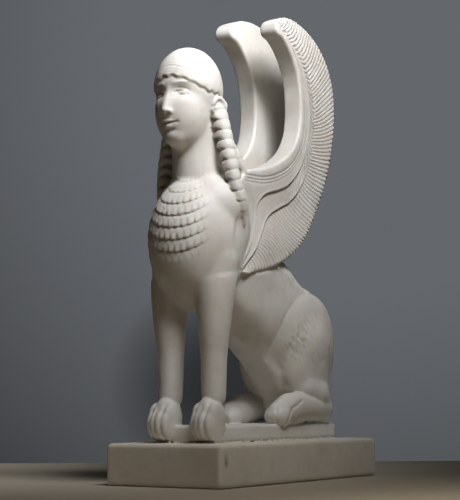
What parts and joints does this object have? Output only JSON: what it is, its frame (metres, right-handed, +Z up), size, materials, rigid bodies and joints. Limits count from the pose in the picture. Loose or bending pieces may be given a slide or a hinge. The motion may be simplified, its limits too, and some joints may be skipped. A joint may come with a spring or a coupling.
{
  "type": "seated sphinx statuette",
  "caption": "Cast alabaster statuette of a seated sphinx with curved wings and braided hair, on a low slab and a rectangular plinth.",
  "frame": {"origin": "middle of the plinth's underside", "axes": "+Z up; the sphinx faces -Y; +X is the sphinx's left side; the plinth's long sides run along Y"},
  "size_m": [0.068, 0.15, 0.2479],
  "materials": {
    "figure_stone": "matt cast alabaster, warm white",
    "plinth_stone": "matt cast alabaster, warm white, lightly rubbed"
  },
  "bodies": {
    "root": {"sphinx_figure": "figure_stone", "plinth": "plinth_stone"}
  },
  "joints": []
}
